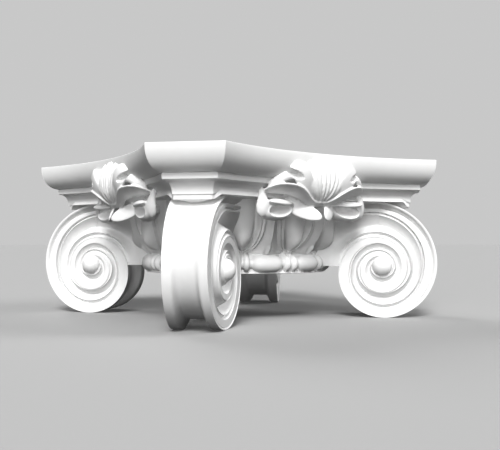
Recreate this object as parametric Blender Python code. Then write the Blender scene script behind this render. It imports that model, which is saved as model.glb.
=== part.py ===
"""Column capital with a concave abacus, four corner scrolls, egg and dart, and a flower on each side.

One cast piece, a quarter-turn copy of itself on all four sides. It stands on its four scrolls.
Metres, +Z up. The column's axis is Z, and the abacus sides run along X and Y.
"""
import math

import bmesh
import bpy
import numpy as np

# Driving dimensions
HEIGHT = 0.170               # underside of the scrolls to the top of the abacus
CORNER_REACH = 0.225         # axis to the flat end of an abacus corner
CORNER_HALF = 0.0365         # half the width of that flat end
SIDE_SAG = 0.0275            # how far the middle of a side draws in
ABACUS_FOOT = 0.1217         # underside of the abacus
TOP_EDGE = 0.003             # upright edge round the top
OVOLO_REACH = 0.0165         # how far the ovolo draws in
OVOLO_DROP = 0.0225
FILLET_REACH = 0.0158        # this and the next reaches are measured in from the top edge
FILLET_TOP = 0.1436
FILLET_FOOT = 0.1390
CAVETTO_START = 0.0180
CAVETTO_REACH = 0.0084
CAVETTO_DROP = 0.0130
CAVETTO_FOOT = 0.1256
LOWER_FILLET_REACH = 0.0276
LOWER_FILLET_TOP = 0.1252

EYE_REACH = 0.168            # axis to the middle of a scroll
EYE_HEIGHT = 0.0558          # middle of the scroll's eye above the ground
EYE_HALF = 0.0258            # half the scroll's thickness at its eye
FACE_TOE = math.radians(4.9)     # each face turns away from the diagonal by this, going inward
SPIRAL_START = 0.0745        # spiral radius at its top, straight above its pole
SPIRAL_QUARTER = 0.834       # each quarter turn shrinks the spiral by this
SPIRAL_POLE = (-0.0035, -0.0040)     # spiral's pole from the eye, outward and up
TURN_STEPS = 16              # facets in one turn
TURNS = 1.95
FACE_PARTS = (0.0, 0.10, 0.17, 0.43, 0.72, 1.0)      # list, cove, fascia and channel, rim to next rim
FACE_SINKS = (0.0, 0.0, 0.0025, 0.0020, 0.0065, 0.0)
FULL_PITCH = 0.030           # where turns are closer than this, the sinks shrink with them
EYE_RADIUS = 0.0108
EYE_RISE = 0.008             # how far the eye stands out of the face
EYE_ROWS = ((1.0, -0.9), (1.0, 0.1), (0.62, 0.85))       # parts of the eye's radius and rise
EYE_FACETS = 8
BACK_REACH = 0.123           # round the axis, the scrolls' backs are cut upright here, clear of the shaft
BAND_HOLLOW = 0.010          # depth of the hollow along the edge of a scroll
BAND_PLACES = (-1.0, -0.6, -0.3, 0.0, 0.3, 0.6, 1.0)     # across the band, as parts of its half width
BAND_DEPTHS = (0.0, 0.02, 0.75, 1.0, 0.75, 0.02, 0.0)
HOLLOW_START = 75            # degrees from the scroll's top where the hollow begins, and to full depth
NECK_RISES = (0.0725, 0.0666, 0.0640, 0.0540, 0.0428, 0.0300, 0.0)      # above the eye
NECK_SINKS = (0.0001, 0.0001, 0.0026, 0.0021, 0.0066, 0.0074, 0.0078)
NECK_ENDS = (-0.085, -0.0042)        # outward from the eye

SEAT_HEIGHT = 0.0495         # flat underside of the body, where the shaft ends
SEAT_RADIUS = 0.0985
RING_RADIUS = 0.1000         # middle of the beaded ring
RING_HEIGHT = 0.0597
BEAD_RADIUS = 0.0095
REEL_RADIUS = 0.0080
MODULES = 12                 # eggs round the body
BEAD_MIDDLE = 15.0           # degrees from an egg's middle
BEAD_HALF = 9.8              # half a bead's length, in degrees
BELL_FOOT = 0.0725
BELL_TOP = 0.128             # inside the abacus
BELL_CROWN = 0.1200          # where the body is fullest
BELL_RADIUS = 0.1010         # at its foot
BELL_SWELL = 0.0200
EGG_SHELL = 8.2              # degrees from an egg's middle to the rim of its shell

MM = 0.001


def clear_scene():
    for item in list(bpy.data.objects):
        bpy.data.objects.remove(item, do_unlink=True)


def plaster():
    """White primed casting."""
    material = bpy.data.materials.new("white_cast")
    material.use_nodes = True
    shader = material.node_tree.nodes["Principled BSDF"]
    shader.inputs["Base Color"].default_value = (0.86, 0.86, 0.86, 1.0)
    shader.inputs["Roughness"].default_value = 0.55
    shader.inputs["Metallic"].default_value = 0.0
    return material


def make_object(name, points, faces):
    """A mesh object with its doubles merged, its open loops filled and its faces pointing out."""
    mesh = bpy.data.meshes.new(name)
    mesh.from_pydata([tuple(point) for point in points], [], faces)
    work = bmesh.new()
    work.from_mesh(mesh)
    bmesh.ops.remove_doubles(work, verts=work.verts, dist=0.00001)
    bmesh.ops.dissolve_degenerate(work, edges=work.edges, dist=0.00001)
    bmesh.ops.holes_fill(work, edges=work.edges, sides=0)
    bmesh.ops.recalc_face_normals(work, faces=work.faces)
    work.to_mesh(mesh)
    work.free()
    item = bpy.data.objects.new(name, mesh)
    bpy.context.collection.objects.link(item)
    return item


def grid_faces(rows, columns, wrap, start=0):
    """Quads of a grid of rows by columns, its columns closed into rings where wrap is true."""
    count = columns if wrap else columns - 1
    faces = []
    for row in range(rows - 1):
        for column in range(count):
            after = (column + 1) % columns
            low = start + row * columns
            high = low + columns
            faces.append((low + column, low + after, high + after, high + column))
    return faces


def stacked_rings(name, rings):
    """A closed solid from rings of equal count, with a flat cap at both ends."""
    columns = len(rings[0])
    points = np.concatenate(rings)
    faces = grid_faces(len(rings), columns, True)
    faces.append(tuple(reversed(range(columns))))
    faces.append(tuple(range(len(points) - columns, len(points))))
    return make_object(name, points, faces)


def quarter_copies(points):
    """The same points at each of the four quarter turns."""
    turned = [points]
    for _ in range(3):
        last = turned[-1]
        turned.append(np.column_stack((-last[:, 1], last[:, 0], last[:, 2])))
    return turned


def abacus_ring(offset, height, steps=7):
    """The abacus outline drawn in by offset: four hollow arcs joined by four flat corner ends."""
    edge = (CORNER_REACH + CORNER_HALF) / math.sqrt(2)
    half = (CORNER_REACH - CORNER_HALF) / math.sqrt(2)
    radius = (half ** 2 + SIDE_SAG ** 2) / (2 * SIDE_SAG)
    centre = -(edge - SIDE_SAG) - radius
    radius += offset
    lean = (math.sqrt(2) * (CORNER_REACH - offset) + centre) / (math.sqrt(2) * radius)
    end = math.radians(45) + math.asin(lean)
    angle = np.linspace(-end, end, steps + 1)
    side = np.column_stack((radius * np.sin(angle), centre + radius * np.cos(angle),
                            np.full(steps + 1, height)))
    return np.concatenate(quarter_copies(side))


def abacus():
    """Top to bottom: ovolo, fillet, cavetto and a narrow lower fillet."""
    profile = [(0.0, HEIGHT), (0.0, HEIGHT - TOP_EDGE)]
    for turn in np.radians([30, 60, 90]):
        profile.append((OVOLO_REACH * (1 - math.cos(turn)), HEIGHT - TOP_EDGE - OVOLO_DROP * math.sin(turn)))
    profile += [(FILLET_REACH, FILLET_TOP), (FILLET_REACH, FILLET_FOOT)]
    for turn in np.radians([0, 45, 90]):
        profile.append((CAVETTO_START + CAVETTO_REACH * math.sin(turn),
                        CAVETTO_FOOT + CAVETTO_DROP * math.cos(turn)))
    profile += [(LOWER_FILLET_REACH, LOWER_FILLET_TOP), (LOWER_FILLET_REACH, ABACUS_FOOT)]
    rings = [abacus_ring(offset, height) for offset, height in reversed(profile)]
    return stacked_rings("abacus", rings)


def module_ring(angles, radii, heights):
    """One closed ring round the axis, from the angles, radii and heights in one egg's module."""
    pitch = 2 * math.pi / MODULES
    ring = []
    for module in range(MODULES):
        turn = angles + module * pitch - math.pi / 2
        ring.append(np.column_stack((radii * np.cos(turn), radii * np.sin(turn), heights)))
    return np.concatenate(ring)


def bell():
    """Flat seat, beaded ring, egg and dart, one ring of points after another up the body."""
    degrees = math.radians(1)
    rings = []
    ring_angles = np.array([-2.0, 2.0, 5.2, 8.5, 12.5, 17.5, 21.5, 24.8]) * degrees
    along = (ring_angles / degrees - BEAD_MIDDLE) / BEAD_HALF
    beads = np.where(np.abs(along) <= 1.001,
                     BEAD_RADIUS * (0.62 + 0.38 * np.sqrt(np.clip(1 - along ** 2, 0, 1))), REEL_RADIUS)
    flat = np.ones(len(ring_angles))
    rings.append(module_ring(ring_angles, SEAT_RADIUS * flat, SEAT_HEIGHT * flat))
    for turn in (-58, -20, 20, 60):
        lift = math.sin(math.radians(turn))
        reach = math.cos(math.radians(turn))
        rings.append(module_ring(ring_angles, RING_RADIUS + beads * reach, RING_HEIGHT + beads * lift))
    rings.append(module_ring(ring_angles, BELL_RADIUS * flat, (BELL_FOOT - MM) * flat))

    columns = np.array([-11.0, -EGG_SHELL, -6.0, 0.0, 6.0, EGG_SHELL, 11.0, 15.0])
    relief = np.array([-3.5, 0.0, -6.0, -0.5, -6.0, 0.0, -3.5, 3.0]) * MM
    for height in (0.0745, 0.0815, 0.0910, 0.1030, 0.1180):
        rise = (height - BELL_FOOT) / (BELL_CROWN - BELL_FOOT)
        body = BELL_RADIUS + BELL_SWELL * math.sin(math.radians(90) * min(1.0, rise * 1.25))
        narrow = 0.35 + 0.65 * math.sin(math.radians(90) * min(1.0, rise * 2.0))
        depth = min(1.0, 0.15 + rise * 3.0)
        reach = np.abs(columns)
        spread = (15 - EGG_SHELL * narrow) / (15 - EGG_SHELL)
        squeezed = np.where(reach <= EGG_SHELL, reach * narrow, 15 - (15 - reach) * spread)
        angles = np.sign(columns) * squeezed * degrees
        rings.append(module_ring(angles, body + relief * depth, height * flat))
    rings.append(module_ring(np.linspace(-11, 15, 8) * degrees, 0.1180 * flat, BELL_TOP * flat))
    return stacked_rings("bell", rings)


def spiral_spot(turn):
    """The scroll's rim from its eye, outward and up, after a turn in radians from the top."""
    reach = SPIRAL_START * SPIRAL_QUARTER ** (turn / (math.pi / 2))
    return np.array(SPIRAL_POLE) + reach * np.array([math.sin(turn), math.cos(turn)])


def face_half(outward, sink):
    """Half the scroll's thickness at a place that far outward from its eye."""
    return EYE_HALF - outward * math.sin(FACE_TOE) - sink


def behind_cut(points):
    """The points with the scroll's back kept outside the round shaft's place."""
    points = np.array(points)
    back = np.sqrt(BACK_REACH ** 2 - points[..., 1] ** 2)
    points[..., 0] = np.maximum(points[..., 0], back)
    return points


def scroll_face(side):
    """Points of one spiral face, a row of section points at each step along the spiral.

    Fractions run from the rim in to the next turn's rim, and sinks go into the face.
    List, small cove, fascia, and a broad hollow that rises to the next rim.
    """
    fractions = np.array(FACE_PARTS)
    sinks = np.array(FACE_SINKS)
    rows = []
    for step in range(int(TURN_STEPS * TURNS) + 1):
        turn = 2 * math.pi * step / TURN_STEPS
        rim = spiral_spot(turn)
        inner = spiral_spot(turn + 2 * math.pi)
        spots = rim + (inner - rim) * fractions[:, None]
        scale = min(1.0, np.linalg.norm(rim - inner) / FULL_PITCH)
        half = face_half(spots[:, 0], sinks * scale)
        rows.append(np.column_stack((EYE_REACH + spots[:, 0], side * half, EYE_HEIGHT + spots[:, 1])))
    return behind_cut(rows)


def scroll_band():
    """Points of the band round the first turn, hollowed between two flat ridges."""
    across = np.array(BAND_PLACES)
    hollow = np.array(BAND_DEPTHS) * BAND_HOLLOW
    rows = []
    for step in range(TURN_STEPS + 1):
        turn = 2 * math.pi * step / TURN_STEPS
        rim = spiral_spot(turn)
        inward = -rim / np.linalg.norm(rim)
        fade = min(1.0, max(0.0, (math.degrees(turn) - HOLLOW_START) / HOLLOW_START))
        spots = rim + inward * hollow[:, None] * fade
        half = face_half(rim[0], 0.0)
        rows.append(np.column_stack((EYE_REACH + spots[:, 0], half * across, EYE_HEIGHT + spots[:, 1])))
    return behind_cut(rows)


def scroll_blank():
    """One scroll along +X: two spiral faces, the band round them, and the gaps filled."""
    points = []
    faces = []
    for rows in (scroll_face(-1), scroll_face(1), scroll_band()):
        faces += grid_faces(rows.shape[0], rows.shape[1], False, len(points))
        points += list(rows.reshape(-1, 3))
    return points, faces


def neck_blank():
    """The block that joins a scroll to the body, its sides channelled under the abacus."""
    rises = np.array(NECK_RISES)
    rows = []
    for outward in NECK_ENDS:
        half = face_half(outward, np.array(NECK_SINKS))
        reach = np.full(len(rises), EYE_REACH + outward)
        left = np.column_stack((reach, -half, EYE_HEIGHT + rises))
        right = np.column_stack((reach, half, EYE_HEIGHT + rises))
        rows.append(np.concatenate((left, right[::-1])))
    count = len(rows[0])
    faces = grid_faces(2, count, True)
    faces.append(tuple(range(count)))
    faces.append(tuple(range(count, 2 * count)))
    return list(np.concatenate(rows)), faces


def eye_blank(side):
    """The ball in the middle of one face, a low dome with its foot inside the scroll."""
    points = []
    rows = EYE_ROWS
    count = EYE_FACETS
    for reach, rise in rows:
        for step in range(count):
            turn = 2 * math.pi * step / count
            across = EYE_RADIUS * reach * math.sin(turn)
            upward = EYE_RADIUS * reach * math.cos(turn)
            points.append((EYE_REACH + across, side * (EYE_HALF + EYE_RISE * rise), EYE_HEIGHT + upward))
    faces = grid_faces(len(rows), count, True)
    faces.append(tuple(range(count)))
    faces.append(tuple(range(2 * count, 3 * count)))
    return points, faces


def four_corners(name, points, faces):
    """A closed solid turned onto each of the four diagonals."""
    half = math.sqrt(0.5)
    points = np.array(points)
    turned = np.column_stack(((points[:, 0] - points[:, 1]) * half,
                              (points[:, 0] + points[:, 1]) * half, points[:, 2]))
    return four_sides(name, turned, faces)


def four_sides(name, points, faces):
    """A closed solid repeated at each quarter turn, its open loops filled."""
    copies = quarter_copies(np.array(points))
    count = len(points)
    repeated = []
    for copy in range(4):
        repeated += [tuple(corner + copy * count for corner in face) for face in faces]
    return make_object(name, np.concatenate(copies), repeated)


def leaf(spine, widths, thickness, bow, ribs=0.0, steps=4, across=3):
    """A thick leaf along a curve of three points, its face outward from the capital's side.

    Widths are half widths, evenly spread from the root to the tip. Bow lifts its two edges outward,
    and ribs is the depth of the grooves that run along it.
    """
    root, middle, tip = (np.array(point) * MM for point in spine)
    along = np.linspace(0, 1, steps)
    curve = np.outer((1 - along) ** 2, root) + np.outer(2 * along * (1 - along), middle)
    curve += np.outer(along ** 2, tip)
    tangent = np.gradient(curve, axis=0)
    tangent /= np.linalg.norm(tangent, axis=1)[:, None]
    outward = np.array([0.0, -1.0, 0.35])
    side = np.cross(tangent, outward)
    side /= np.linalg.norm(side, axis=1)[:, None]
    normal = np.cross(side, tangent)
    width = np.interp(along, np.linspace(0, 1, len(widths)), widths) * MM
    place = np.linspace(-1, 1, across)
    groove = ribs * MM * (np.arange(across) % 2)
    rings = []
    for step in range(steps):
        lift = bow * MM * place ** 2 - groove
        front = curve[step] + np.outer(place * width[step], side[step]) + np.outer(lift, normal[step])
        back = front - normal[step] * thickness * MM
        rings.append(np.concatenate((front, back[::-1])))
    count = 2 * across
    faces = grid_faces(steps, count, True)
    faces.append(tuple(range(count)))
    faces.append(tuple(range((steps - 1) * count, steps * count)))
    return np.concatenate(rings), faces


def pair(blank):
    """A blank on the right of a side's middle and its mirror image on the left."""
    points, faces = blank
    mirrored = points * np.array([-1.0, 1.0, 1.0])
    count = len(points)
    faces = faces + [tuple(reversed([corner + count for corner in face])) for face in faces]
    return np.concatenate((points, mirrored)), faces


def flower():
    """The forms of one side's flower and its sprigs, in millimetres from the axis, front side."""
    side_lobe = leaf([(7, -136, 118), (28, -158, 160), (61, -148, 134)], (6, 12, 11, 3), 10, -2, 0.8)
    return {
        "fan": leaf([(0, -134, 115), (0, -156, 138), (0, -160, 163)], (7, 14, 20, 22, 12), 12, -5, 1.6, 5, 7),
        "side_lobe": pair(side_lobe),
        "upper_lobe": pair(leaf([(10, -142, 132), (24, -160, 164), (39, -161, 154)], (5, 8, 7, 3), 10, -2)),
        "husk": pair(leaf([(2, -144, 103), (18, -158, 110), (36, -144, 118)], (4, 9, 9, 4), 32, -5)),
        "upper_petal": pair(leaf([(34, -118, 126), (50, -158, 128), (64, -140, 117)], (5, 6, 5, 2), 9, 1)),
        "lower_petal": pair(leaf([(28, -110, 108), (46, -160, 98), (63, -138, 111)], (6, 8, 7, 2), 10, 1)),
    }


def union(body, part, solver):
    """The body's mesh joined with another solid, and that solid's object removed."""
    joined = body.modifiers.new(part.name, "BOOLEAN")
    joined.operation = "UNION"
    joined.solver = solver
    joined.object = part
    bpy.context.view_layer.update()
    evaluated = body.evaluated_get(bpy.context.evaluated_depsgraph_get())
    mesh = bpy.data.meshes.new_from_object(evaluated)
    body.modifiers.remove(joined)
    body.data = mesh
    bpy.data.objects.remove(part, do_unlink=True)


def keep_main_body(mesh):
    """Delete the crumbs that a union leaves loose, so that one closed body remains."""
    work = bmesh.new()
    work.from_mesh(mesh)
    seen = set()
    bodies = []
    for vertex in work.verts:
        if vertex in seen:
            continue
        seen.add(vertex)
        body = [vertex]
        for near in body:
            for edge in near.link_edges:
                other = edge.other_vert(near)
                if other not in seen:
                    seen.add(other)
                    body.append(other)
        bodies.append(body)
    bodies.sort(key=len)
    crumbs = [vertex for body in bodies[:-1] for vertex in body]
    bmesh.ops.delete(work, geom=crumbs, context="VERTS")
    work.to_mesh(mesh)
    work.free()


def build():
    clear_scene()
    capital = bell()
    capital.name = "capital"
    union(capital, abacus(), "EXACT")
    union(capital, four_corners("scrolls", *scroll_blank()), "EXACT")
    # The exact solver loses the body at the necks and leaves, where skins cross at low angles
    union(capital, four_corners("necks", *neck_blank()), "MANIFOLD")
    for side in (-1, 1):
        union(capital, four_corners("eyes", *eye_blank(side)), "EXACT")
    for name, blank in flower().items():
        union(capital, four_sides(name, *blank), "MANIFOLD")
    keep_main_body(capital.data)
    capital.data.materials.clear()
    capital.data.materials.append(plaster())
    capital.data.shade_smooth()
    capital.data.set_sharp_from_angle(angle=math.radians(35))


build()
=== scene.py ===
"""Looks of the column capital: one white cast piece with a hollow-sided abacus, four corner scrolls,
a ring of egg and dart over bead and reel, and a flower with leaf sprigs on each side.

Metres, +Z up, the column's axis is Z. The front side faces -Y, and every form repeats at each quarter turn.
"""
import math

import bmesh
import bpy
import numpy as np
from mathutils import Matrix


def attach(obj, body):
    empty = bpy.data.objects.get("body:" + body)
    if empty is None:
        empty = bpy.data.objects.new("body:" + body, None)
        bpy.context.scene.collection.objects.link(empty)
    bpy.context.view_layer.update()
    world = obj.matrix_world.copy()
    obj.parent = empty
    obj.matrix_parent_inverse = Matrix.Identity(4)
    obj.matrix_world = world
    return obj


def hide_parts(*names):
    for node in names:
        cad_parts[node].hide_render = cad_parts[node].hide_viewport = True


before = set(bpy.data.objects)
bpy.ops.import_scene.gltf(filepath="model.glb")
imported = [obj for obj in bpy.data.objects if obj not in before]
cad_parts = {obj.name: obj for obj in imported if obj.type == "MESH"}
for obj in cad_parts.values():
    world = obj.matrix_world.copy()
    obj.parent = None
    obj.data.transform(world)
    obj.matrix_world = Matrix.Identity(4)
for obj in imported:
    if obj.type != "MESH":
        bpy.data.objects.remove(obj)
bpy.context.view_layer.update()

# Studio: a plain pale floor that meets air of the same grey. The key light is three soft lamps over
# the camera, one high, one low and one that throws no shadows. Weaker ones on the right and at the
# back keep the other sides in view.
CAMERA_PLACE = (-0.4829, -0.7275, 0.081)
CAMERA_YAW = math.radians(34.66)
CAMERA_LENS = 53.9
CAMERA_SENSOR = 36.0
HORIZON_SHIFT = 0.037
FLOOR_GREY = (0.43, 0.43, 0.43, 1.0)
AIR_GREY = (0.445, 0.445, 0.445, 1.0)
AIR_STRENGTH = 0.05


def pale_floor():
    """A wide flat floor. It throws no light up, so that the undersides stay dark."""
    reach = 40.0
    mesh = bpy.data.meshes.new("pale_floor")
    mesh.from_pydata([(-reach, -reach, 0), (reach, -reach, 0), (reach, reach, 0), (-reach, reach, 0)], [],
                     [(0, 1, 2, 3)])
    paint = bpy.data.materials.new("floor_paint")
    paint.use_nodes = True
    shader = paint.node_tree.nodes["Principled BSDF"]
    shader.inputs["Base Color"].default_value = FLOOR_GREY
    shader.inputs["Roughness"].default_value = 1.0
    shader.inputs["Specular IOR Level"].default_value = 0.0
    mesh.materials.append(paint)
    floor = bpy.data.objects.new("pale_floor", mesh)
    floor.visible_diffuse = False
    bpy.context.collection.objects.link(floor)


def soft_sun(name, azimuth, elevation, strength, spread, shadows=True):
    """A distant lamp: azimuth from +X and elevation in degrees, its shadows softened by the spread."""
    lamp = bpy.data.lights.new(name, "SUN")
    lamp.energy = strength
    lamp.use_shadow = shadows
    lamp.angle = math.radians(spread)
    item = bpy.data.objects.new(name, lamp)
    item.rotation_euler = (math.radians(90 - elevation), 0.0, math.radians(azimuth + 90))
    bpy.context.collection.objects.link(item)


def studio_air():
    """The camera sees the floor's grey all round, while the light from the air itself is faint."""
    world = bpy.data.worlds.new("studio_air")
    world.use_nodes = True
    tree = world.node_tree
    seen = tree.nodes["Background"]
    seen.inputs["Color"].default_value = AIR_GREY
    faint = tree.nodes.new("ShaderNodeBackground")
    faint.inputs["Color"].default_value = (1.0, 1.0, 1.0, 1.0)
    faint.inputs["Strength"].default_value = AIR_STRENGTH
    rays = tree.nodes.new("ShaderNodeLightPath")
    choose = tree.nodes.new("ShaderNodeMixShader")
    tree.links.new(rays.outputs["Is Camera Ray"], choose.inputs["Fac"])
    tree.links.new(faint.outputs["Background"], choose.inputs[1])
    tree.links.new(seen.outputs["Background"], choose.inputs[2])
    tree.links.new(choose.outputs["Shader"], tree.nodes["World Output"].inputs["Surface"])
    bpy.context.scene.world = world
    bpy.context.scene.view_settings.view_transform = "Standard"
    bpy.context.scene.view_settings.look = "High Contrast"


pale_floor()
studio_air()
soft_sun("key", azimuth=232, elevation=42, strength=2.1, spread=22)
soft_sun("low", azimuth=226, elevation=16, strength=0.8, spread=34)
soft_sun("fill", azimuth=232, elevation=38, strength=0.55, spread=30, shadows=False)
soft_sun("right", azimuth=325, elevation=30, strength=0.9, spread=30)
soft_sun("back", azimuth=90, elevation=40, strength=0.9, spread=30)

camera = bpy.data.objects.new("camera", bpy.data.cameras.new("camera"))
camera.data.lens = CAMERA_LENS
camera.data.sensor_width = CAMERA_SENSOR
camera.data.shift_y = HORIZON_SHIFT
camera.location = CAMERA_PLACE
camera.rotation_euler = (math.pi / 2, 0.0, -CAMERA_YAW)
bpy.context.collection.objects.link(camera)
bpy.context.scene.camera = camera


# Finish: white primer sprayed on the raw casting, matte, with a fine tooth and faint pooling.
# It is one material for every piece, because the real capital is one casting.
THIN_COAT = (0.74, 0.74, 0.735, 1.0)
FULL_COAT = (0.84, 0.84, 0.84, 1.0)
POOLING_SCALE = 14.0
MOTTLE_SCALE = 130.0
TOOTH_SCALE = 1500.0
TOOTH_HEIGHT = 0.0004


class Wire:
    """A shader socket that adds a Math node for each arithmetic operator used on it."""

    def __init__(self, tree, socket):
        self.tree = tree
        self.socket = socket

    def node(self, kind, settings, values, output=0):
        """A node of a type, its settings first, then the values or links of its sockets."""
        made = self.tree.nodes.new(kind)
        for name, value in settings.items():
            setattr(made, name, value)
        for name, value in values.items():
            if isinstance(value, Wire):
                self.tree.links.new(value.socket, made.inputs[name])
            else:
                made.inputs[name].default_value = value
        return Wire(self.tree, made.outputs[output])

    def maths(self, operation, first, second):
        """A Math node on two sockets or numbers."""
        return self.node("ShaderNodeMath", {"operation": operation}, {0: first, 1: second})

    def __add__(self, other):
        return self.maths("ADD", self, other)

    def __sub__(self, other):
        return self.maths("SUBTRACT", self, other)

    def __mul__(self, other):
        return self.maths("MULTIPLY", self, other)

    __radd__ = __add__
    __rmul__ = __mul__

    def __rsub__(self, other):
        return self.maths("SUBTRACT", other, self)


def white_primer():
    """A coat whose colour runs from thin to full by 0.65 pooling + 0.35 mottle.

    The roughness rises with the mottle and falls with the pooling. The bump is a fine tooth with
    some of the mottle in it.
    """
    material = bpy.data.materials.new("white_primer")
    material.use_nodes = True
    tree = material.node_tree
    shader = tree.nodes["Principled BSDF"]
    start = Wire(tree, None)
    place = start.node("ShaderNodeTexCoord", {}, {}, "Object")
    pooling = start.node("ShaderNodeTexNoise", {}, {"Vector": place, "Scale": POOLING_SCALE, "Detail": 4.0})
    mottle = start.node("ShaderNodeTexNoise", {}, {"Vector": place, "Scale": MOTTLE_SCALE, "Detail": 3.0})
    tooth = start.node("ShaderNodeTexNoise", {}, {"Vector": place, "Scale": TOOTH_SCALE, "Detail": 2.0})
    drift = pooling * 0.65 + mottle * 0.35
    colour = start.node("ShaderNodeMix", {"data_type": "RGBA"}, {0: drift, 6: THIN_COAT, 7: FULL_COAT}, 2)
    roughness = 0.50 + mottle * 0.14 - pooling * 0.06
    height = tooth * 0.6 + mottle * 0.4
    bump = start.node("ShaderNodeBump", {}, {"Height": height, "Strength": 0.10, "Distance": TOOTH_HEIGHT})
    tree.links.new(colour.socket, shader.inputs["Base Color"])
    tree.links.new(roughness.socket, shader.inputs["Roughness"])
    tree.links.new(bump.socket, shader.inputs["Normal"])
    return material


primer = white_primer()


# Abacus: the slab on top, cast with the rest, with four hollow sides and four flat corner ends.
# From the top: a narrow upright edge, a broad ovolo, a fillet, a cavetto, and a lower fillet at the corners.
MM = 0.001
MERGE_GAP = 0.00001
CORNER_REACH = 0.225
CORNER_HALF = 0.0365
SIDE_SAG = 0.0275
SIDE_FOOT = 0.1258
CORNER_FOOT = 0.1210
CORNER_SHARE = (0.90, 0.09)
SLOPE_STARTS = 0.0380
SLOPE_ENDS = 0.060
CORNER_LENS = 0.0028
ARC_PLACES = 61
END_PLACES = 8


def closed_piece(name, shells, smooth_angle=38):
    """One object from several closed shells, each (points, faces), with doubles merged and normals out."""
    points = np.concatenate([shell[0] for shell in shells])
    faces = []
    start = 0
    for shell_points, shell_faces in shells:
        faces += [tuple(np.array(face) + start) for face in shell_faces]
        start += len(shell_points)
    mesh = bpy.data.meshes.new(name)
    mesh.from_pydata(points.tolist(), [], faces)
    work = bmesh.new()
    work.from_mesh(mesh)
    bmesh.ops.remove_doubles(work, verts=work.verts, dist=MERGE_GAP)
    bmesh.ops.dissolve_degenerate(work, edges=work.edges, dist=MERGE_GAP)
    bmesh.ops.holes_fill(work, edges=work.edges, sides=0)
    bmesh.ops.recalc_face_normals(work, faces=work.faces)
    work.to_mesh(mesh)
    work.free()
    mesh.materials.append(primer)
    mesh.shade_smooth()
    mesh.set_sharp_from_angle(angle=math.radians(smooth_angle))
    piece = bpy.data.objects.new(name, mesh)
    bpy.context.collection.objects.link(piece)
    return piece


def cast_on(piece):
    """The piece rides on the capital's one body and stands in for its plain solid, which is hidden."""
    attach(piece, "root")
    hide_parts("capital")


def quads(rows, columns, wrap):
    """Faces of a grid of rows by columns, closed into rings where wrap is true."""
    row, column = np.meshgrid(np.arange(rows - 1), np.arange(columns if wrap else columns - 1), indexing="ij")
    after = (column + 1) % columns
    corners = (row * columns + column, row * columns + after,
               (row + 1) * columns + after, (row + 1) * columns + column)
    return np.stack(corners, axis=-1).reshape(-1, 4).tolist()


def ring_stack(rings):
    """A closed shell from rings of equal count, capped flat at both ends."""
    rings = np.asarray(rings)
    rows, columns = rings.shape[:2]
    faces = quads(rows, columns, True)
    faces.append(list(range(columns))[::-1])
    faces.append(list(range((rows - 1) * columns, rows * columns)))
    return rings.reshape(-1, 3), faces


def quarter_turns(points):
    """The points at each of the four quarter turns, stacked along a new first axis."""
    turns = [points]
    for _ in range(3):
        last = turns[-1]
        turns.append(np.stack((-last[..., 1], last[..., 0], last[..., 2]), axis=-1))
    return np.stack(turns)


def eased(line, radius):
    """A 2-D line with each sharp corner cut back by radius and replaced by a small parabola of 4 points."""
    soft = [line[0]]
    for before, here, after in zip(line[:-2], line[1:-1], line[2:]):
        back, forth = before - here, after - here
        back_length, forth_length = np.linalg.norm(back), np.linalg.norm(forth)
        cosine = -(back @ forth) / (back_length * forth_length)
        if cosine > math.cos(math.radians(20)):
            soft.append(here)
            continue
        cut = min(radius, 0.45 * back_length, 0.45 * forth_length)
        first, last = here + back / back_length * cut, here + forth / forth_length * cut
        for part in np.linspace(0, 1, 4):
            soft.append((1 - part) ** 2 * first + 2 * part * (1 - part) * here + part ** 2 * last)
    soft.append(line[-1])
    return np.array(soft)


def smooth(value):
    """A soft step: 0 below 0, 1 above 1, and 3v2 - 2v3 between."""
    value = np.clip(value, 0.0, 1.0)
    return value * value * (3 - 2 * value)


def abacus_profile():
    """Rows of (drawn in, height) from the top down, at the sides and at the corners, drawn in mm.

    Both have the ovolo and the cavetto, which are quarter ellipses, and the fillet between them.
    At the corners a lower fillet ends them. At the sides what lies below 134 mm is squeezed to 0.4
    of its height, and then flares out again over the scrolls' lists.
    """
    edge = 0.5
    squeezed_below, squeeze = 134.0, 0.40
    turn = np.linspace(0, np.pi / 2, 15)
    ovolo = np.column_stack((16.5 * (1 - np.cos(turn)), 167.0 - 22.3 * np.sin(turn)))
    bend = np.linspace(0, np.pi / 2, 13)
    cavetto = np.column_stack((17.8 + 8.6 * np.sin(bend), 125.8 + 12.8 * np.cos(bend)))
    upper = eased(np.concatenate(([(6.0, 170.0), (0.0, 170.0)], ovolo,
                                  [(16.1, 144.2), (16.1, 139.2), (16.4, 138.7)], cavetto)), edge)
    fillet = eased(np.array([(26.6, 125.6), (27.6, 125.5), (27.6, 121.0), (29.8, 121.0)]), edge)
    flare = np.array([(26.5, 130.4), (26.2, 129.4), (25.6, 128.4), (24.8, 127.5), (24.1, 126.9),
                      (23.7, 126.5), (23.6, 126.2), (23.8, 125.9), (25.0, 125.8), (29.8, 125.8)])
    raised = squeezed_below - (squeezed_below - upper[:, 1]) * squeeze
    side = np.column_stack((upper[:, 0], np.where(upper[:, 1] < squeezed_below, raised, upper[:, 1])))
    return np.concatenate((side, flare)) * MM, np.concatenate((upper, fillet)) * MM


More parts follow.
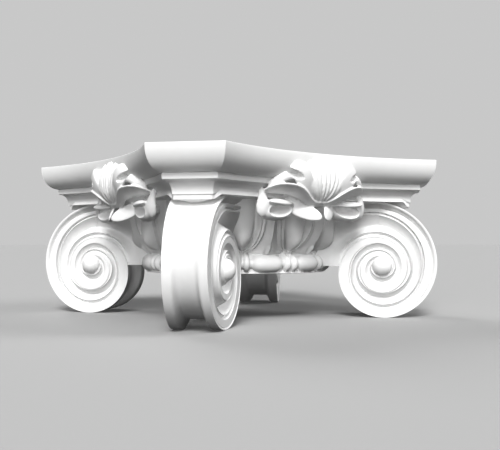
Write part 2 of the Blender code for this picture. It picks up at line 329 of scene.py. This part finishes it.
def abacus_outline(drawn_in, places):
    """The outline drawn in: a hollow arc from one corner end to the next, then that flat end.

    The arc's radius is (half squared + sag squared) / (2 sag), plus what is drawn in, and it stops
    where it meets the flat end's line. Places run along it from -1 to 1.
    """
    edge = (CORNER_REACH + CORNER_HALF) / math.sqrt(2)
    half = (CORNER_REACH - CORNER_HALF) / math.sqrt(2)
    radius = (half ** 2 + SIDE_SAG ** 2) / (2 * SIDE_SAG)
    centre = -(edge - SIDE_SAG) - radius
    radius += drawn_in
    lean = (math.sqrt(2) * (CORNER_REACH - drawn_in) + centre) / (math.sqrt(2) * radius)
    angle = places * (math.radians(45) + math.asin(lean))
    arc = np.column_stack((radius * np.sin(angle), centre + radius * np.cos(angle)))
    step = np.linspace(0, 1, END_PLACES + 2)[1:-1, None]
    return np.concatenate((arc, arc[-1] + (np.array([-arc[0, 1], arc[0, 0]]) - arc[-1]) * step))


def abacus_ring(side, corner, lens=0.0):
    """One ring that has the side's drawn-in and height on the arcs and the corner's at the flat ends.

    It passes from one to the other over the last stretch of each arc, and lens lowers the middle
    of each flat end. Even places v crowd towards the ends as 1 - (1 - |v|) to the power 1.5.
    """
    even = np.linspace(-1, 1, ARC_PLACES)
    places = np.sign(even) * (1 - (1 - np.abs(even)) ** 1.5)
    share = smooth((np.abs(places) - CORNER_SHARE[0]) / CORNER_SHARE[1])
    share = np.concatenate((share, np.ones(END_PLACES)))[:, None]
    step = np.linspace(0, 1, END_PLACES + 2)[1:-1]
    bulge = np.concatenate((np.zeros(ARC_PLACES), 1 - (2 * step - 1) ** 2))[:, None]
    rings = [np.column_stack((abacus_outline(drawn_in, places), np.full(len(share), height)))
             for drawn_in, height in (side, corner)]
    ring = rings[0] * (1 - share) + rings[1] * share - bulge * np.array([0.0, 0.0, lens])
    return quarter_turns(ring).reshape(-1, 3)


def abacus():
    """Rings down the profile, then the underside that meets the scrolls."""
    rings = [abacus_ring(side, corner) for side, corner in zip(*abacus_profile())]
    rings.append(abacus_ring((SLOPE_STARTS, SIDE_FOOT), (SLOPE_STARTS, CORNER_FOOT), CORNER_LENS))
    rings.append(abacus_ring((SLOPE_ENDS, SIDE_FOOT), (SLOPE_ENDS, CORNER_FOOT)))
    return ring_stack(rings)


cast_on(closed_piece("abacus", [abacus()]))


# Body: the round bell under the abacus, with twelve eggs in their shells, darts between them,
# a string of beads and reels, and the flat seat that meets the shaft. Cast in the same mould.
MODULES = 12
MODULE_SPAN = 30.0
MODULE_STEPS = 72
SEAT_HEIGHT = 0.0495
STRING_RADIUS = 0.1000
STRING_HEIGHT = 0.0597
STRING_CORE = 5.2 * MM
BODY_TOP = 0.129
BODY_CORE = 90 * MM
SHELL_TOP = 0.106
SHELL_FALL = 0.0335
SHELL_HALF = 8.6
WALL_WIDTH = 1.1
SHELL_RIM = 2.4
SHELL_DEPTH = 11.0 * MM
EGG_GAP = 2.2
EGG_TOP = 0.096
EGG_FALL = 0.0225
EGG_BACK = 0.0990
EGG_BULGE = 0.0210
DART_DEPTH = 5.5 * MM
DART_RIDGE = 9.0 * MM
LEAF_HEIGHT = 2.6 * MM
LINE_DEPTH = 1.5 * MM


def swell(angle, middle, half, radius, fullness):
    """A turned bead along the string: its radius falls to nothing at its ends.

    It is radius times the root of 1 - reach to the power of fullness, where reach runs from 0 at the
    middle to 1 at the ends.
    """
    reach = np.clip(np.abs(angle - middle) / half, 0, 1)
    return radius * (1 - reach ** fullness) ** 0.5


def string_rows(angle):
    """Rows of (radius, height) up the beaded string, a tube whose thickness changes round the ring.

    A module has half a long bead at either end and two reels in the middle. Each has its middle
    and half width in degrees, its radius and its fullness.
    """
    beads = [(middle, 9.9, 9.6 * MM, 3.4) for middle in (-15.0, 15.0)]
    reels = [(middle, 2.35, 8.9 * MM, 2.6) for middle in (-2.45, 2.45)]
    thickness = np.full_like(angle, STRING_CORE)
    for middle, half, radius, fullness in beads + reels:
        thickness = np.maximum(thickness, swell(angle, middle, half, radius, fullness))
    return [(STRING_RADIUS + thickness * math.cos(turn), STRING_HEIGHT + thickness * math.sin(turn))
            for turn in np.radians(np.linspace(-84, 84, 25))]


def envelope(height):
    """Outer radius of the echinus, off a table: it swells from the string to the abacus."""
    heights = np.array([70.0, 74.0, 80.0, 85.0, 90.0, 95.0, 100.0, 105.0, 110.0, 120.0, 130.0]) * MM
    radii = np.array([99.0, 103.0, 108.5, 112.3, 115.2, 117.4, 119.0, 120.2, 121.0, 122.0, 122.5]) * MM
    return np.interp(height, heights, radii)


def egg_and_dart(angle, height):
    """Radius of the carved echinus at an angle in degrees from an egg's middle.

    The shell's half angle narrows to the bottom as a flattened half ellipse. The egg rises in its
    shell as a half ellipse. The shell's wall ends in a flat rim with a fine line cut along it. The
    dart climbs in two flat facets to a ridge between two eggs, and a small leaf lies at its foot.
    """
    reach = np.abs(angle)
    outer = envelope(height)
    drop = np.clip((SHELL_TOP - height) / SHELL_FALL, 0, 1)
    shell = SHELL_HALF * np.sqrt(1 - drop ** 2.4) + 0.2
    egg = np.clip(shell - EGG_GAP, 0.05, None)
    hollow = outer - SHELL_DEPTH * smooth((height - 0.0715) / 0.007)
    belly = EGG_BACK + EGG_BULGE * np.sqrt(1 - np.clip((EGG_TOP - height) / EGG_FALL, 0, 1) ** 3.6)
    dome = np.sqrt(np.clip(1 - (reach / egg) ** 2, 0, 1))
    surface = hollow + (np.maximum(belly, hollow) - hollow) * dome
    wall = smooth((reach - (shell - WALL_WIDTH)) / WALL_WIDTH)
    inside = surface + (outer - surface) * wall * (reach > egg)
    quirk = shell + SHELL_RIM
    facet = np.clip((reach - quirk) / (MODULE_SPAN / 2 - quirk), 0, 1)
    wedge = outer - DART_DEPTH + DART_RIDGE * facet
    fall = smooth((reach - quirk) / 0.7)
    outside = outer + (wedge - outer) * fall
    carved = np.where(reach < shell, inside, outside)
    from_ridge = MODULE_SPAN / 2 - reach
    foot = smooth((0.0795 - height) / 0.004) * np.exp(-(from_ridge / 3.2) ** 2)
    leaf_lobes = LEAF_HEIGHT * foot * (0.6 + 0.4 * np.cos(np.radians(from_ridge) * 105))
    line = LINE_DEPTH * np.exp(-((reach - (shell + 1.1)) / 0.36) ** 2)
    return carved + leaf_lobes - line


def body():
    """Rows up the body, each once round the axis in twelve equal modules.

    They are the seat's low ledge, the string, the carved rows, which lie closest at the eggs' feet,
    and the lid under the abacus.
    """
    angle = (np.arange(MODULE_STEPS) / MODULE_STEPS - 0.5) * MODULE_SPAN
    level = np.ones_like(angle)
    ledge = [(60.0, 0.0), (102.9, 0.0), (103.4, 0.4), (102.9, 0.8), (101.0, 0.9)]
    rows = [(radius * MM * level, (SEAT_HEIGHT + rise * MM) * level) for radius, rise in ledge]
    rows += string_rows(angle)
    carved = np.concatenate((np.arange(70.0, 84.0, 0.8), np.arange(84.0, 122.0, 1.5), [124.0, 129.0])) * MM
    rows += [(egg_and_dart(angle, height), height * level) for height in carved]
    rows.append((BODY_CORE * level, BODY_TOP * level))
    turn = np.radians(np.concatenate([angle + MODULE_SPAN * module for module in range(MODULES)])) - np.pi / 2
    rings = []
    for radius, height in rows:
        radius, height = np.tile(radius, MODULES), np.tile(height, MODULES)
        rings.append(np.column_stack((radius * np.cos(turn), radius * np.sin(turn), height)))
    return ring_stack(rings)


cast_on(closed_piece("echinus", [body()], smooth_angle=50))


# Scrolls: four thick volutes under the abacus corners, each with two spiral faces, a hollowed edge,
# a ball for an eye, and a channelled neck that joins it to the body. The capital stands on them.
EYE_REACH = 0.168
EYE_HEIGHT = 0.0562
EYE_HALF = 0.0258
FACE_TOE = math.radians(4.9)
SPIRAL_START = 0.0745
SPIRAL_QUARTER = 0.834
SPIRAL_POLE = np.array([-0.0035, -0.0040])
SPIRAL_STEPS = 96
SPIRAL_TURNS = 2.5
FULL_SPAN = 0.027
EYE_RADIUS = 0.0112
EYE_SUNK = 0.0032
BACK_REACH = 0.123
BAND_HOLLOW = 10.0 * MM
BAND_SHALLOW = 2.8 * MM
NECK_LENGTH = 0.055
MOULD_DEPTH = 2.7 * MM


def spiral(turn):
    """The rim from the eye, outward and up: a log spiral that shrinks by a fixed ratio each quarter.

    Past the fifth quarter its pole drifts towards the eye, so that the last turn winds round the ball.
    """
    quarter = np.asarray(turn) / (np.pi / 2)
    reach = SPIRAL_START * SPIRAL_QUARTER ** quarter * (1 - 0.12 * smooth((quarter - 6) / 3))
    pole = SPIRAL_POLE * (1 - 0.7 * smooth((quarter - 5) / 4))[..., None]
    return pole + np.stack((reach * np.sin(turn), reach * np.cos(turn)), axis=-1)


def face_plane(outward, sink):
    """Half the scroll's thickness that far outward from its eye, less what is cut into the face."""
    return EYE_HALF - outward * math.sin(FACE_TOE) - sink


def clear_of_shaft(points):
    """The scroll's back, cut to an upright cylinder about the axis."""
    back = np.sqrt(BACK_REACH ** 2 - points[..., 1] ** 2)
    points[..., 0] = np.maximum(points[..., 0], back)
    return points


def run(first, last, count, shape=1.0):
    """Count steps from first to last, both arrays over the turns, bent by raising the step to shape."""
    step = np.linspace(0, 1, count) ** shape
    return first[:, None] + (last - first)[:, None] * step


def face_section(turn):
    """Places across the face, as parts of the way to the next turn's rim, and how deep each is cut.

    From the rim in: a flat list, a cove that deepens to a step and dies away in the first half
    turn, a flat fascia, a quirk, a bead, a channel with a crease at its deepest, and a crest with a
    V groove beside the next rim. Widths and depths run straight between their values at whole
    quarter turns. The bead fades by the second quarter and the quirk by the fourth, and the crest
    and its groove all but close at the bottom of each turn.
    """
    quarter = turn / (np.pi / 2)

    def along(quarters, values):
        """A value that runs straight between its values at those quarter turns."""
        return np.interp(quarter, quarters, values)

    none = np.zeros_like(turn)
    cove_end = along([0, 1, 1.6, 2.2], [0.195, 0.155, 0.09, 0.04])
    cove_cut = along([0, 0.5, 1.0, 1.6, 2.2], [9.0, 6.5, 2.8, 1.1, 0.7]) * MM
    list_end = along([0, 1, 2], [0.03, 0.07, 0.03])
    fascia_end = along([0, 1, 2, 3, 4], [0.290, 0.415, 0.350, 0.455, 0.375])
    fascia_cut = along([0, 1.0, 2.0], [1.6, 0.9, 0.6]) * MM
    deep = along([0, 1, 2, 3, 4], [0.66, 0.74, 0.79, 0.74, 0.69])
    deepest = along([0, 0.6, 1, 2, 3, 4], [12.0, 10.5, 9.5, 9.5, 9.5, 11.0]) * MM
    span = np.linalg.norm(spiral(turn) - spiral(turn + 2 * np.pi), axis=-1)
    unit = MM * np.minimum(1.0, span / FULL_SPAN) / span
    quirk_end = fascia_end + unit * along([0, 1, 2, 3, 4], [2.9, 3.2, 4.6, 3.0, 0.4])
    quirk_deep = fascia_end + 0.35 * (quirk_end - fascia_end)
    quirk = fascia_cut + 4.4 * MM * along([0, 1, 2, 3, 4], [1.0, 1.1, 1.3, 0.9, 0.1])
    bead_end = quirk_end + 0.1 * unit + unit * along([0, 1, 1.8], [0.9, 0.7, 0.1])
    bead = 0.3 * MM * smooth((1.8 - quarter) / 0.8)[:, None] * np.sin(np.linspace(0, np.pi, 5))[None, :]
    crest_width = unit * along([0, 1, 1.6, 2, 2.4, 3, 4, 5, 5.6, 6, 6.4, 7],
                               [5.6, 4.6, 1.4, 0.9, 1.4, 4.6, 5.6, 4.2, 1.4, 0.9, 1.4, 4.0])
    crest = 1.0 - crest_width
    crest_cut = along([0, 1, 1.6, 2, 2.4, 3], [0.4, 0.7, 0.9, 0.9, 0.9, 0.5]) * MM
    groove_place = 1.0 - 0.55 * crest_width
    groove = crest_cut + along([0, 1, 1.6, 2.4, 3, 5, 5.6, 6.4, 7],
                               [4.6, 4.0, 0.3, 0.3, 4.0, 4.0, 0.3, 0.3, 3.4]) * MM
    parts = [run(none, list_end, 3), run(list_end, cove_end, 8)[:, 1:],
             run(cove_end + 0.004, cove_end + 0.018, 3), run(cove_end + 0.018, fascia_end, 6)[:, 1:],
             run(fascia_end, quirk_deep, 5)[:, 1:], run(quirk_deep, quirk_end, 5)[:, 1:],
             run(quirk_end + 0.1 * unit, bead_end, 5), run(bead_end, deep, 8)[:, 1:],
             run(deep, crest, 9)[:, 1:], run(crest, groove_place, 5)[:, 1:],
             run(groove_place, none + 1.0, 4)[:, 1:]]
    cuts = [run(none, none, 3), run(none, cove_cut, 8, 1.4)[:, 1:],
            run(fascia_cut + 0.5 * MM, fascia_cut, 3), run(fascia_cut, fascia_cut + 0.2 * MM, 6, 3.0)[:, 1:],
            run(fascia_cut + 0.2 * MM, quirk, 5)[:, 1:], run(quirk, fascia_cut + 1.0 * MM, 5)[:, 1:],
            run(fascia_cut + 0.8 * MM, fascia_cut + 1.1 * MM, 5) - bead,
            run(fascia_cut + 1.1 * MM, deepest, 8, 0.9)[:, 1:], run(deepest, crest_cut, 9, 1.1)[:, 1:],
            run(crest_cut, groove, 5)[:, 1:], run(groove, none, 4)[:, 1:]]
    return np.concatenate(parts, axis=1), np.concatenate(cuts, axis=1)


def spiral_face(side):
    """One face: rows along the spiral, each a section from this turn's rim to the next one in."""
    turn = np.arange(int(SPIRAL_STEPS * SPIRAL_TURNS) + 1) * 2 * np.pi / SPIRAL_STEPS
    rim, inner = spiral(turn)[:, None, :], spiral(turn + 2 * np.pi)[:, None, :]
    parts, cuts = face_section(turn)
    spots = rim + (inner - rim) * parts[..., None]
    scale = np.minimum(1.0, np.linalg.norm(rim - inner, axis=-1) / FULL_SPAN)
    half = face_plane(spots[..., 0], cuts * scale)
    points = np.stack((EYE_REACH + spots[..., 0], side * half, EYE_HEIGHT + spots[..., 1]), axis=-1)
    return clear_of_shaft(points)


def hollow_edge():
    """The band round the first turn: two flat ridges with a deep hollow between.

    At the top front the hollow is a shallow dish, and over the turn from 55 to 150 degrees it
    grows into the deep one.
    """
    across = np.sin(np.linspace(-1, 1, 37) * np.pi / 2)
    turn = np.linspace(0, 2 * np.pi, SPIRAL_STEPS + 1)
    rim = spiral(turn)[:, None, :]
    inward = -rim / np.linalg.norm(rim, axis=-1, keepdims=True)
    grown = smooth((np.degrees(turn)[:, None] - 55) / 95)
    deep = BAND_HOLLOW * smooth((0.64 - np.abs(across[None, :])) / 0.26)
    shallow = BAND_SHALLOW * (1 - np.abs(across[None, :]) ** 2.2)
    depth = shallow * (1 - grown) + deep * grown
    spots = rim + inward * depth[..., None]
    half = face_plane(rim[..., 0], 0.0) * across
    points = np.stack((EYE_REACH + spots[..., 0], half, EYE_HEIGHT + spots[..., 1]), axis=-1)
    return clear_of_shaft(points)


def scroll_shell():
    """Both spiral faces and the edge between them, as one closed shell along +X."""
    points, faces = [], []
    count = 0
    for grid in (spiral_face(-1), spiral_face(1), hollow_edge()):
        faces += (np.array(quads(grid.shape[0], grid.shape[1], False)) + count).tolist()
        points.append(grid.reshape(-1, 3))
        count += len(points[-1])
    return np.concatenate(points), faces


def distance_from_rim(outward, rise):
    """How far a place lies outside the spiral's first turn, negative inside it."""
    away = np.stack((outward, rise), axis=-1) - SPIRAL_POLE
    turn = np.arctan2(away[..., 0], away[..., 1]) % (2 * np.pi)
    reach = SPIRAL_START * SPIRAL_QUARTER ** (turn / (np.pi / 2))
    return np.linalg.norm(away, axis=-1) - reach


def neck_cut(outward, rise, start):
    """How deep the neck's side is dished below its mouldings, in metres.

    The first slope goes down from the mouldings to a crease that softens and sinks towards the
    body, and the second back up to the spiral's rim. They meet in a soft minimum, which is minus
    blend times the log of the sum of e to the power of minus each over blend. Along the rim's last
    quarter turn a crest and a V groove follow it.
    """
    inward = smooth(-outward / NECK_LENGTH)
    crease = 0.0459 - 0.020 * inward
    deepest = 12.0 * MM + 2.0 * MM * inward - 8.0 * MM * smooth((0.036 - rise) / 0.032) * inward
    fall = np.clip((start - rise) / (start - crease), 0, 1)
    fall = fall * (1 - inward) + smooth(fall) * inward
    first = MOULD_DEPTH + (deepest - MOULD_DEPTH) * fall
    outside = distance_from_rim(outward, rise)
    away = np.arctan2(outward - SPIRAL_POLE[0], rise - SPIRAL_POLE[1]) % (2 * np.pi)
    grown = smooth((away / (np.pi / 2) - 3.0) / 0.5)
    crest = 5.2 * MM * grown
    climb = np.clip((outside - crest) / (12.6 * MM - crest), 0, 1)
    second = deepest * climb ** (1 - 0.35 * inward) + 0.5 * MM
    blend = 0.2 * MM + 1.6 * MM * inward
    cut = -blend * np.log(np.exp(-first / blend) + np.exp(-second / blend))
    groove_deep, groove_away, groove_half = 4.6 * MM, 3.1 * MM, 2.6 * MM
    groove = groove_deep * grown * np.clip(1 - np.abs(outside - groove_away * grown) / groove_half, 0, 1)
    return cut + groove + 12.0 * MM * smooth(-outside / 0.003)


def neck_shell():
    """A closed block from the body to the scroll's middle, both sides moulded as the scroll's top is."""
    top, width = spiral(0.0)[1], spiral(0.0)[1] - spiral(2 * np.pi)[1]
    parts, cuts = (rows[0] for rows in face_section(np.zeros(1)))
    kept = parts < 0.375
    mould_rise, mould_cut = top - width * parts[kept], cuts[kept]
    mould_rise, mould_cut = np.append(top + 3 * MM, mould_rise), np.append(0.0, mould_cut)
    dish_rise = np.linspace(mould_rise[-1], 0.0, 60)[1:]
    reach = np.linspace(-0.087, -0.0036, 60)
    outward, rise = np.meshgrid(reach, dish_rise, indexing="ij")
    dish = neck_cut(outward, rise, mould_rise[-1])
    cut = np.concatenate((np.tile(mould_cut, (len(reach), 1)), dish), axis=1)
    outward, rise = np.meshgrid(reach, np.concatenate((mould_rise, dish_rise)), indexing="ij")
    half = face_plane(outward, cut)
    left = np.stack((EYE_REACH + outward, -half, EYE_HEIGHT + rise), axis=-1)
    right = left * np.array([1.0, -1.0, 1.0])
    return ring_stack(np.concatenate((left, right[:, ::-1]), axis=1))


def ball_shell(side):
    """The eye: a ball whose middle lies a little under the face."""
    rows, columns = 31, 64
    tilt = np.linspace(0.02, np.pi - 0.02, rows)[:, None]
    turn = np.linspace(0, 2 * np.pi, columns, endpoint=False)[None, :]
    points = np.stack((EYE_REACH + EYE_RADIUS * np.sin(tilt) * np.cos(turn),
                       side * (EYE_HALF - EYE_SUNK) + EYE_RADIUS * np.cos(tilt) * np.ones_like(turn),
                       EYE_HEIGHT + EYE_RADIUS * np.sin(tilt) * np.sin(turn)), axis=-1)
    return ring_stack(points)


def on_corner(shell, corner):
    """A shell along +X turned onto one of the four diagonals."""
    points, faces = shell
    turn = math.radians(45 + 90 * corner)
    cosine, sine = math.cos(turn), math.sin(turn)
    turned = np.column_stack((points[:, 0] * cosine - points[:, 1] * sine,
                              points[:, 0] * sine + points[:, 1] * cosine, points[:, 2]))
    return turned, faces


scroll_parts = [scroll_shell(), neck_shell(), ball_shell(-1), ball_shell(1)]
for corner, corner_name in enumerate(("back_right", "back_left", "front_left", "front_right")):
    cast_on(closed_piece("scroll_" + corner_name, [on_corner(part, corner) for part in scroll_parts],
                         smooth_angle=42))


# Flowers: on the middle of each side a palmette of ribbed lobes, wings that curl away from it, and
# below it husks, a blossom and a blade on each hand. They are modelled leaves, fused in the casting.
FLOWER_VOXEL = 0.8 * MM


def leaf(spine, widths, facing, thickness, bow=0.0, ribs=0, rib_depth=0.0):
    """A thick leaf along a smooth curve through its spine's points, in mm as (x, outward, up).

    The curve is the polynomial through the points over their chord length. Widths are half widths
    from root to tip, and the tip closes as an ellipse. Facing is where its face looks. Bow lifts the
    edges by bow times the square of the place across, and ribs cut cosine grooves along it. The
    thickness is 0.35 of the full one at the edges, and swells as a half circle to the middle.
    """
    steps, across = 34, 29
    spots = np.array(spine, dtype=float)
    chord = np.concatenate(([0.0], np.cumsum(np.linalg.norm(np.diff(spots, axis=0), axis=1))))
    along = np.linspace(0, 1, steps)
    fit = np.polyfit(chord / chord[-1], spots, len(spots) - 1)
    curve = along[:, None] ** np.arange(len(spots) - 1, -1, -1) @ fit
    tangent = np.gradient(curve, axis=0)
    tangent /= np.linalg.norm(tangent, axis=1, keepdims=True)
    side = np.cross(tangent, np.array(facing, dtype=float))
    side /= np.linalg.norm(side, axis=1, keepdims=True)
    normal = np.cross(side, tangent)
    half = np.interp(along, np.linspace(0, 1, len(widths)), widths)
    tip_starts, tip_length = 0.82, 0.18
    close = np.sqrt(np.clip(1 - np.clip((along - tip_starts) / tip_length, 0, 1) ** 2, 0, 1))
    half = half * np.maximum(close, 0.04)
    place = np.linspace(-1, 1, across)
    lift = bow * place[None, :] ** 2 * np.ones((steps, 1))
    if ribs:
        groove = 0.5 - 0.5 * np.cos(2 * np.pi * (place[None, :] + 1) / 2 * ribs)
        lift = lift - rib_depth * (1 - groove ** 0.6) * smooth(along[:, None] * 4)
    swelling = 0.35 + 0.65 * np.sqrt(np.clip(1 - place ** 2, 0, 1))
    plump = np.outer(np.maximum(close, 0.25), swelling) * thickness
    middle = curve[:, None, :] + place[None, :, None] * half[:, None, None] * side[:, None, :]
    front = middle + (lift + plump * 0.5)[..., None] * normal[:, None, :]
    back = middle + (lift - plump * 0.5)[..., None] * normal[:, None, :]
    points, faces = ring_stack(np.concatenate((front, back[:, ::-1]), axis=1))
    return points * np.array([1.0, -1.0, 1.0]) * MM, faces


def mirrored(shell):
    """The same leaf on the other hand of the side's middle."""
    points, faces = shell
    return points * np.array([-1.0, 1.0, 1.0]), [face[::-1] for face in faces]


def lump(start, end, half_height, half_depth, facing=(0.0, 1.0, 0.15)):
    """An ellipsoid from start to end, each (x, outward, up) in mm, its depth along where it faces."""
    start, end = np.array(start, dtype=float), np.array(end, dtype=float)
    length = (end - start) / 2
    height = np.cross(length, facing)
    height *= half_height / np.linalg.norm(height)
    depth = np.cross(height, length)
    depth *= half_depth / np.linalg.norm(depth)
    tilt = np.linspace(0.05, np.pi - 0.05, 21)[:, None, None]
    turn = np.linspace(0, 2 * np.pi, 28, endpoint=False)[None, :, None]
    girth = np.sin(tilt) * (np.cos(turn) * height + np.sin(turn) * depth)
    points = (start + end) / 2 + np.cos(tilt) * length + girth
    return ring_stack(points * np.array([1.0, -1.0, 1.0]) * MM)


def both_hands(shells):
    """The shells and their mirror images."""
    return shells + [mirrored(shell) for shell in shells]


def flower_shells():
    """The front side's leaves: a fan of lobes on a heart, then a left-hand set and its mirror image.

    Each hand has three lobes, a wing that curls away under them, a fold over the wing, a husk in
    the middle, a blossom with an upper petal, and a blade that hangs at the end.
    """
    heart = lump((-30, 132, 128), (30, 132, 128), 12, 14)
    middle_lobe = leaf([(0, 149, 124), (0, 158, 133), (0, 160, 150), (0, 153, 168)], (3.5, 6.2, 7.8, 7.0),
                       (0, 1, 0.2), thickness=10, bow=-2.5, ribs=2, rib_depth=2.6)
    first_lobe = leaf([(-3, 149, 124), (-8, 158, 133), (-12, 160, 149), (-15, 153, 165.5)],
                      (3.5, 5.5, 7.2, 6.5), (-0.15, 1, 0.2), thickness=9, bow=-2.0, ribs=2, rib_depth=2.4)
    second_lobe = leaf([(-6, 149, 125), (-14, 157.5, 134), (-22, 159, 148), (-27, 153, 162)],
                       (3.5, 5.5, 6.5, 6), (-0.2, 1, 0.2), thickness=8, bow=-2.0)
    third_lobe = leaf([(-10, 149, 127), (-22, 158, 137), (-31, 161, 148.5), (-38, 156, 159.5)],
                      (4, 8, 9.5, 8.5), (-0.3, 1, 0.1), thickness=8, bow=0.5)
    wing = leaf([(0, 152, 121.5), (-22, 155, 127), (-38, 156, 134), (-51, 149, 135), (-62, 138, 131)],
                (3, 4.8, 8.0, 8, 4), (0, 0.62, -0.78), thickness=3.5, bow=1.5)
    fold = leaf([(-26, 150, 144), (-38, 157, 148.5), (-49, 154, 145), (-59, 145, 136)],
                (4, 5.0, 5.0, 3), (0, 0.7, 0.7), thickness=6, bow=-1.5)
    husk = lump((-2.0, 158, 106), (-32, 133, 121.5), 8.2, 2.6, (-0.62, 0.76, 0.3))
    blossom = lump((-22, 133, 117), (-65, 140, 112), 11, 12, (0.0, 0.83, -0.55))
    petal = lump((-25, 139, 120), (-60, 150, 121.5), 3.6, 7.0, (0.0, 1.0, -0.2))
    blade = leaf([(-59, 134, 139), (-63, 141, 130), (-64, 144, 118), (-63, 140, 106)],
                 (0.5, 3.5, 7, 5.5), (-0.4, 1, 0.1), thickness=4, bow=-1.5)
    return [heart, middle_lobe] + both_hands([first_lobe, second_lobe, third_lobe, wing, fold, husk,
                                              blossom, petal, blade])


def flower_hollows():
    """What is taken out of the fused leaves: an open notch in a lobe and the inside of a blossom."""
    notch = lump((-28.5, 161, 146), (-46, 158, 151.5), 3.6, 14, (-0.2, 1.0, -0.6))
    inside = lump((-27, 145, 115.5), (-58, 148, 111), 5.4, 16, (0.0, 0.83, -0.55))
    return both_hands([notch, inside])


def fused(name, shells, hollows, voxel):
    """The shells remeshed into one skin, as leaves run together in a casting, less the hollows."""
    piece = closed_piece(name, shells)
    drill = closed_piece(name + "_drill", hollows)
    remesh = piece.modifiers.new("fuse", "REMESH")
    remesh.mode = "VOXEL"
    remesh.voxel_size = voxel
    remesh.use_smooth_shade = True
    taken = piece.modifiers.new("drill", "BOOLEAN")
    taken.operation = "DIFFERENCE"
    taken.object = drill
    again = piece.modifiers.new("fuse_again", "REMESH")
    again.mode = "VOXEL"
    again.voxel_size = voxel
    again.use_smooth_shade = True
    soften = piece.modifiers.new("soften", "SMOOTH")
    soften.factor = 0.5
    soften.iterations = 2
    evaluated = piece.evaluated_get(bpy.context.evaluated_depsgraph_get())
    mesh = bpy.data.meshes.new_from_object(evaluated)
    bpy.data.objects.remove(piece, do_unlink=True)
    bpy.data.objects.remove(drill, do_unlink=True)
    return mesh


flower_mesh = fused("flower", flower_shells(), flower_hollows(), FLOWER_VOXEL)
flower_points = np.empty(len(flower_mesh.vertices) * 3)
flower_mesh.vertices.foreach_get("co", flower_points)
flower_sides = quarter_turns(flower_points.reshape(-1, 3))
for turned_points, side_name in zip(flower_sides, ("front", "right", "back", "left")):
    side_mesh = flower_mesh.copy()
    side_mesh.vertices.foreach_set("co", turned_points.ravel())
    side_mesh.materials.clear()
    side_mesh.materials.append(primer)
    side_mesh.update()
    side_mesh.shade_smooth()
    flower_piece = bpy.data.objects.new("flower_" + side_name, side_mesh)
    bpy.context.collection.objects.link(flower_piece)
    cast_on(flower_piece)
